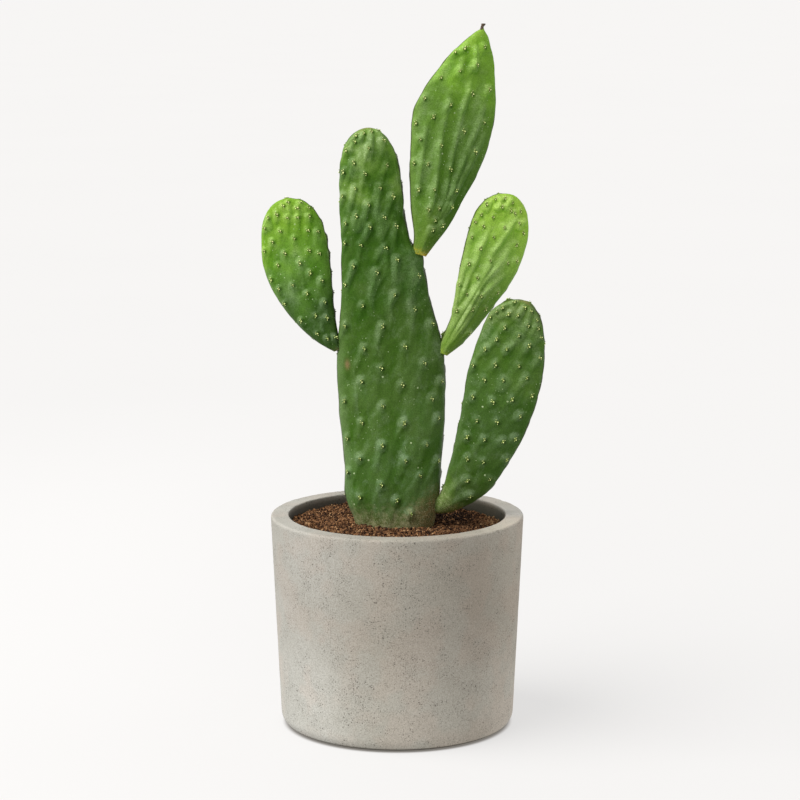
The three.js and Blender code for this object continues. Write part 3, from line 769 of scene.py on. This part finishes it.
def source(tree, kind, **settings):
    made = tree.nodes.new("ShaderNode" + kind)
    for key, value in settings.items():
        setattr(made, key, value)
    return made


def node(kind, feeds, **settings):
    """A node in the tree of the outputs that feed it."""
    tree = next(value.id_data for value in feeds.values() if isinstance(value, bpy.types.NodeSocket))
    return feed(source(tree, kind, **settings), feeds)


def rgba(colour):
    """A plain colour as a node takes it. A node's output stays as it is."""
    return colour if isinstance(colour, bpy.types.NodeSocket) else (*colour, 1)


def mixed(part, a, b, way="MIX"):
    """A colour between `a` and `b`."""
    return node("Mix", {0: part, 6: rgba(a), 7: rgba(b)}, data_type="RGBA", blend_type=way).outputs[2]


def dyed(colour, by, part=1.0):
    """A colour multiplied by another."""
    return mixed(part, colour, by, "MULTIPLY")


def ranged(value, low, high, to_low=0.0, to_high=1.0):
    feeds = {"Value": value, "From Min": low, "From Max": high, "To Min": to_low, "To Max": to_high}
    return node("MapRange", feeds, interpolation_type="SMOOTHSTEP").outputs[0]


def math_of(way, a, b=0.0):
    return node("Math", {0: a, 1: b}, operation=way).outputs[0]


def times(a, b):
    return math_of("MULTIPLY", a, b)


def plus(a, b):
    return math_of("ADD", a, b)


def gathered(total, parts):
    """A value with more added by each part: another value, where it begins, where it is full, and the most."""
    for value, start, full, most in parts:
        total = plus(total, ranged(value, start, full, 0, most))
    return total


def noise_of(where, scale, detail=3.0, rough=0.55):
    feeds = {"Vector": where, "Scale": scale, "Detail": detail, "Roughness": rough}
    return node("TexNoise", feeds).outputs["Fac"]


def dots_of(where, kinds, core, most):
    """Dots in the cells of a pattern. Each kind gives the pattern's scale, the dots' radius and the share of cells
    without one. A dot is full within `core` of its radius."""
    dots = None
    for scale, radius, empty in kinds:
        cells = node("TexVoronoi", {"Vector": where, "Scale": scale})
        chance = node("SeparateColor", {0: cells.outputs["Color"]}).outputs[0]
        dot = ranged(cells.outputs["Distance"], radius, radius * core)
        dot = times(dot, ranged(chance, empty, empty + 0.1, 0, most))
        dots = dot if dots is None else math_of("MAXIMUM", dots, dot)
    return dots


def attribute(tree, name, kind="Fac"):
    return source(tree, "Attribute", attribute_name=name).outputs[kind]


def place_on_object(tree):
    return source(tree, "TexCoord").outputs["Object"]


def group_of(name, inputs, outputs):
    """An empty node group with these sockets, what it is given, and its output node."""
    tree = bpy.data.node_groups.new(name, "ShaderNodeTree")
    for key, kind in inputs:
        tree.interface.new_socket(key, in_out="INPUT", socket_type="NodeSocket" + kind)
    for key, kind in outputs:
        tree.interface.new_socket(key, in_out="OUTPUT", socket_type="NodeSocket" + kind)
    return tree, tree.nodes.new("NodeGroupInput").outputs, tree.nodes.new("NodeGroupOutput")


SKIN_MARKS = ("Rise", "Across", "Bloom", "Shade", "Spot", "Scar", "High")  # attributes of each skin's mesh
SKIN_SETTINGS = ("Shaded", "Waxy", "Cork")  # each pad's own


def skin_group():
    """The skin of a pad, over its own green: pale bloom, partly painted highlight, on what faces up and to the left
    towards the light and on high ground, painted shade on what faces away, in the hollows and low on the right side,
    flecks, dark spots at the areoles that are partly painted shadow, a painted highlight along the left edge, a thin
    dark line round the edge and cork at the foot."""
    tree, given, result = group_of(
        "pad_skin",
        [("Place", "Vector"), ("Green", "Color"), ("Foot", "Color"),
         *((key, "Float") for key in SKIN_MARKS + SKIN_SETTINGS)],
        [("Colour", "Color"), ("Roughness", "Float"), ("Height", "Float")],
    )
    where, foot, rise, across, high = (given[key] for key in ("Place", "Foot", "Rise", "Across", "High"))
    broad = noise_of(where, 0.55, 2.0)
    fine = noise_of(where, 3.2, 4.0, 0.65)
    grain = noise_of(where, 14.0, 3.0, 0.7)
    mottle = noise_of(where, 1.3, 5.0, 0.72)
    long_way = node("Mapping", {"Vector": where, "Rotation": (0, 0.38, 0), "Scale": (1, 1, 0.22)})
    streak = noise_of(long_way.outputs[0], 1.5, 3.0, 0.6)
    # painted shade low on the right side; pale bloom, partly painted highlight, on what faces the light and on high
    # ground; and deep green as painted shade on what faces away and in the hollows
    away = times(ranged(across, -0.4, 0.35), ranged(rise, 0.75, 0.3))
    green = dyed(given["Green"], (0.45, 0.54, 0.34), times(away, given["Shaded"]))
    pale = mixed(1.0, dyed(green, (1.45, 1.2, 2.4)), (0.04, 0.05, 0.034), "ADD")
    light = times(given["Bloom"], ranged(fine, 0.36, 0.62, 0.3, 0.85))
    light = gathered(light, ((high, 0.55, 1.0, 0.3), (mottle, 0.5, 0.72, 0.4), (streak, 0.54, 0.76, 0.3)))
    # each pad's own strength for its pale bloom and painted highlight
    light = times(times(light, ranged(grain, 0.3, 0.62, 0.6, 1.2)), given["Waxy"])
    dark = times(given["Shade"], 0.6)
    dark = gathered(dark, ((streak, 0.48, 0.3, 0.35), (high, 0.5, 0.1, 0.6), (mottle, 0.45, 0.28, 0.3)))
    colour = mixed(dark, green, dyed(green, (0.5, 0.72, 0.16)))
    colour = mixed(light, colour, pale)
    # a paler band at the left edge, which faces the light: painted highlight; and a thin dark olive line round both
    # edges
    left = times(ranged(across, -0.86, -0.97, 0, 0.6), ranged(rise, 0.95, 0.5, 0.1, 1))
    colour = mixed(left, colour, dyed(green, (1.65, 1.38, 2.4)))
    edge = ranged(math_of("ABSOLUTE", across), 0.986, 0.9985)
    edge = times(edge, ranged(fine, 0.32, 0.6, 0.6, 1.0))
    line = mixed(0.5, dyed(green, (0.35, 0.35, 0.3)), (0.05, 0.042, 0.018))
    colour = mixed(edge, colour, line)
    # small pale flecks, some larger, in patches
    fleck = dots_of(where, ((2.0, 0.17, 0.8), (5.0, 0.2, 0.72)), 0.5, 0.8)
    fleck = times(fleck, ranged(broad, 0.46, 0.6))
    colour = mixed(fleck, colour, (0.5, 0.62, 0.34))
    # a dark spot round each areole, partly its own dark felt and partly painted shadow, and brown scars
    spot = ranged(given["Spot"], 0.05, 0.85, 0, 0.92)
    colour = mixed(spot, colour, dyed(green, (0.28, 0.4, 0.18)))
    colour = mixed(times(given["Scar"], 0.85), colour, (0.24, 0.155, 0.075))
    # the crown is touched with brown, and the foot has turned to cork
    uneven = plus(plus(rise, times(fine, 0.06)), times(grain, 0.03))
    colour = mixed(ranged(uneven, 1.015, 1.045, 0, 0.55), colour, (0.2, 0.17, 0.05))
    right = ranged(across, 0.3, 1.1)
    reach = times(given["Cork"], plus(times(right, 0.24), 1.05))
    cork = ranged(math_of("SUBTRACT", reach, uneven), -0.045, 0.015)
    cork_colour = mixed(right, foot, dyed(foot, (0.66, 0.47, 0.27)))
    cork_colour = mixed(ranged(fine, 0.38, 0.62), cork_colour, dyed(foot, (0.46, 0.48, 0.32)))
    cork_colour = mixed(ranged(grain, 0.52, 0.66, 0, 0.75), cork_colour, (0.5, 0.49, 0.31))
    browned = times(cork, ranged(across, -0.3, 0.9, 0.75, 0.95))
    colour = mixed(browned, colour, cork_colour)
    flicker = mixed(ranged(grain, 0.3, 0.7), (0.76, 0.76, 0.76), (1.22, 1.22, 1.22))
    rough = plus(ranged(fine, 0.3, 0.7, 0.4, 0.52), times(cork, 0.25))
    height = plus(plus(times(fine, 0.6), times(grain, 0.3)), times(fleck, 0.3))
    feed(result, {"Colour": dyed(colour, flicker), "Roughness": rough, "Height": height})
    return tree


def material_of(name):
    material = bpy.data.materials.new(name)
    material.use_nodes = True
    return material, material.node_tree


def dressed(material, feeds, height, strength, distance):
    """The material with its shader's inputs set, and with a bump by `height`."""
    bump = node("Bump", {"Height": height, "Strength": strength, "Distance": distance})
    feed(material.node_tree.nodes["Principled BSDF"], {**feeds, "Normal": bump.outputs[0]})
    return material


def ramp_of(value, stops):
    made = node("ValToRGB", {0: value})
    elements = made.color_ramp.elements
    for n, (at, colour) in enumerate(stops):
        element = elements[n] if n < 2 else elements.new(at)
        element.position, element.color = at, rgba(colour)
    return made.outputs[0]


def skin_material(name, group):
    pad = PADS[name]
    material, tree = material_of("skin_of_" + name)
    grown, rise = attribute(tree, "grown", "Vector"), attribute(tree, "rise")
    drift = ranged(noise_of(grown, 0.5, 2.0), 0.2, 0.8, -0.13, 0.13)
    feeds = {key: attribute(tree, key.lower()) for key in SKIN_MARKS}
    feeds.update({key: pad[key.lower()] for key in SKIN_SETTINGS})
    feeds.update(Place=grown, Foot=rgba(pad["foot"]), Green=ramp_of(plus(rise, drift), pad["tones"]))
    skin = node("Group", feeds, node_tree=group)
    shown = {
        "Base Color": skin.outputs["Colour"], "Roughness": skin.outputs["Roughness"], "Specular IOR Level": 0.14,
        "Specular Tint": (0.55, 0.6, 0.42, 1),
    }
    return dressed(material, shown, skin.outputs["Height"], 0.4, 0.0006)


def tuft_material():
    material, tree = material_of("areole_wool")
    tint, height = attribute(tree, "tint"), attribute(tree, "tuft_height")
    wool = mixed(tint, (0.038, 0.072, 0.01), (0.18, 0.27, 0.035))
    bristle = mixed(tint, (0.19, 0.29, 0.06), (0.9, 0.98, 0.38))
    grain = noise_of(place_on_object(tree), 600, 2)
    bristle = mixed(ranged(grain, 0.5, 0.62, 0, 0.5), bristle, wool)
    colour = mixed(ranged(height, 0.26, 0.5), wool, bristle)
    return dressed(material, {"Base Color": colour, "Roughness": 0.6}, grain, 0.4, 0.0002)


def dry_tip_material():
    material, tree = material_of("dried_tip")
    where = place_on_object(tree)
    colour = mixed(noise_of(where, 900, 3), (0.018, 0.012, 0.007), (0.13, 0.085, 0.045))
    return dressed(material, {"Base Color": colour, "Roughness": 0.8}, noise_of(where, 1800, 3), 0.5, 0.0003)


# painted light on the right of the rim's top, over the plant's shadow
RIM_LIGHT = ((0.2, 0), (0.36, 0.15), (0.48, 0.5), (0.64, 0.42), (0.8, 0.26), (1.0, 0.3))  # from front to back


def concrete_material():
    """Cast concrete, cloudy and grainy, with pores. It is paler low down, painted light from the floor, darker and
    warmer towards its right, painted shade, and paler at its right edge, painted light.
    """
    material, tree = material_of("cast_concrete")
    where = place_on_object(tree)
    x, y, z = node("SeparateXYZ", {0: where}).outputs
    mottle = noise_of(where, 60, 4, 0.6)
    grain = noise_of(where, 1100, 4, 0.75)
    # painted light: paler low down, where light from the floor falls on it
    low = ranged(z, 0.1, 0.01)
    pale = mixed(low, (0.4, 0.38, 0.345), (0.525, 0.51, 0.472))
    dull = mixed(low, (0.36, 0.338, 0.3), (0.44, 0.423, 0.383))
    colour = mixed(ranged(noise_of(where, 14, 3), 0.3, 0.7), dull, pale)
    colour = mixed(ranged(mottle, 0.45, 0.75, 0, 0.22), colour, (0.28, 0.265, 0.235))
    patch = ranged(noise_of(where, 38, 2), 0.42, 0.6)
    colour = dyed(colour, mixed(patch, (0.985, 0.995, 0.99), (1.025, 0.985, 0.965)))
    # painted shade, darker and warmer towards the right, away from the light, and painted light at its right edge
    colour = dyed(colour, ramp_of(plus(times(x, 5.5), 0.5), [
        (0.1, (1.0, 1.02, 1.03)), (0.45, (0.97, 0.955, 0.91)), (0.8, (0.9, 0.865, 0.805)),
        (0.96, (1.2, 1.16, 1.09)),
    ]))
    colour = mixed(ranged(grain, 0.42, 0.68, 0, 0.52), colour, (0.2, 0.185, 0.15))
    colour = mixed(ranged(grain, 0.46, 0.28, 0, 0.22), colour, (0.66, 0.64, 0.59))
    pits = dots_of(where, ((1300, 0.36, 0.5), (640, 0.32, 0.6), (330, 0.22, 0.76)), 0.55, 1)
    pits = times(pits, ranged(mottle, 0.38, 0.6, 0.25, 1))
    colour = mixed(times(pits, 0.8), colour, (0.08, 0.07, 0.055))
    # the rim's top is darker along the middle; it is paler at its right, painted light over the plant's shadow, and a
    # little at its left, painted light too
    middle = ranged(math_of("ABSOLUTE", x), 0.08, 0.03)
    colour = mixed(times(ranged(z, 0.1498, 0.1515, 0, 0.13), middle), colour, (0.05, 0.05, 0.045))
    lit = ramp_of(plus(times(y, 10), 0.5), [(at, (part,) * 3) for at, part in RIM_LIGHT])
    lit = times(lit, ranged(x, 0.04, 0.066))
    lit = math_of("MAXIMUM", lit, ranged(x, -0.04, -0.075, 0, 0.05))
    lit = times(lit, ranged(z, 0.1495, 0.1512))
    colour = mixed(lit, colour, (0.8, 0.785, 0.74))
    # painted shade inside, darkest at the right under the low pad, and painted shadow where the foot is near the
    # floor
    hollow = mixed(ranged(x, 0.0, 0.05), (0.049, 0.042, 0.03), (0.019, 0.0185, 0.008))
    colour = mixed(times(attribute(tree, "inside"), 0.94), colour, hollow)
    colour = mixed(ranged(z, 0.0032, 0.0008, 0, 0.85), colour, (0.035, 0.03, 0.022))
    height = plus(math_of("SUBTRACT", times(grain, 0.35), pits), times(mottle, 0.6))
    feeds = {"Base Color": colour, "Roughness": 0.85, "Specular IOR Level": 0.25}
    return dressed(material, feeds, height, 0.5, 0.0005)


def soil_material(name, tinted):
    """Dark brown grit. What is tinted has a tint of its own for each crumb."""
    material, tree = material_of(name)
    where = place_on_object(tree)
    grain = noise_of(where, 1700, 3, 0.7)
    part = attribute(tree, "tint") if tinted else noise_of(where, 260, 3)
    colour = ramp_of(part, [
        (0.0, (0.016, 0.007, 0.004)), (0.3, (0.09, 0.041, 0.018)), (0.65, (0.3, 0.148, 0.064)),
        (1.0, (0.56, 0.35, 0.18)),
    ])
    colour = mixed(ranged(grain, 0.38, 0.68, 0, 0.55), colour, (0.022, 0.01, 0.006))
    feeds = {"Base Color": colour, "Roughness": 0.95, "Specular IOR Level": 0.15}
    return dressed(material, feeds, grain, 0.6, 0.0004)


def floor_material():
    """A white floor that shines a little of itself, a little more to the left as painted light, and less close round
    the pot's foot as a painted shadow.
    """
    material, tree = material_of("pale_floor")
    where = place_on_object(tree)
    colour = mixed(noise_of(where, 1.5, 3), (0.165, 0.163, 0.161), (0.175, 0.173, 0.171))
    out = node("VectorMath", {0: where}, operation="LENGTH").outputs["Value"]
    across = node("SeparateXYZ", {0: where}).outputs["X"]
    # painted light: the floor shines more towards the left
    left = times(ranged(across, 0.1, -0.35), ranged(out, 1.6, 0.5))
    shine = mixed(left, (0.66, 0.653, 0.647), (0.71, 0.702, 0.695))
    # painted shadow close round the pot's foot
    foot = ranged(out, BASE_RADIUS * MM, (BASE_RADIUS - 5) * MM, 0, 0.85)
    shine = mixed(foot, shine, (0.1, 0.085, 0.065))
    feed(tree.nodes["Principled BSDF"], {
        "Base Color": colour, "Emission Color": shine, "Emission Strength": 1.0, "Roughness": 0.9,
        "Specular IOR Level": 0.0,
    })
    return material


# ---- The studio ----

FLOOR_SIZE = 70
LIGHT_COLOUR = (1.0, 0.985, 0.96)
LIGHTS = {  # the way each shines, its strength, and its spread in degrees
    "window_light": ((0.56, 0.225, -0.797), 4.2, 54),
    "side_light": ((-0.9, -0.3, -0.3), 0.3, 40),
}
CAMERA_PLACE = (0.002, -1.744, 0.526)
CAMERA_ANGLE = 80.48  # from straight down
SENSOR, LENS = 36, 112.5


def add_floor():
    bm = bmesh.new()
    bmesh.ops.create_circle(bm, cap_ends=True, segments=96, radius=FLOOR_SIZE)
    mesh = mesh_from(bm, "floor", outward=False)
    floor = added("floor", mesh)
    mesh.materials.append(floor_material())


def add_lights():
    world = bpy.data.worlds.new("studio_white")
    bpy.context.scene.world = world
    world.use_nodes = True
    tree = world.node_tree
    seen = source(tree, "LightPath").outputs["Is Camera Ray"]
    colour = mixed(seen, (0.5, 0.5, 0.51), (0.93, 0.92, 0.91))
    feed(tree.nodes["Background"], {"Color": colour})
    for name, (towards, strength, spread) in LIGHTS.items():
        data = bpy.data.lights.new(name, "SUN")
        data.energy, data.angle, data.color = strength, math.radians(spread), LIGHT_COLOUR
        light = added(name, data)
        light.rotation_euler = Vector(towards).to_track_quat("-Z", "Y").to_euler()


def add_camera():
    data = bpy.data.cameras.new("camera")
    data.sensor_width, data.lens = SENSOR, LENS
    camera = added("camera", data)
    camera.location = CAMERA_PLACE
    camera.rotation_euler = (math.radians(CAMERA_ANGLE), 0, 0)
    bpy.context.scene.camera = camera
    bpy.context.scene.view_settings.view_transform = "Standard"


def build():
    skin, wool = skin_group(), tuft_material()
    for name in PADS:
        add_pad(name, skin_material(name, skin), wool)
    add_dry_tip(dry_tip_material())
    add_pot(concrete_material())
    add_soil(soil_material("soil_bed_grit", tinted=False), soil_material("soil_crumb", tinted=True))
    add_floor()
    add_lights()
    add_camera()


build()
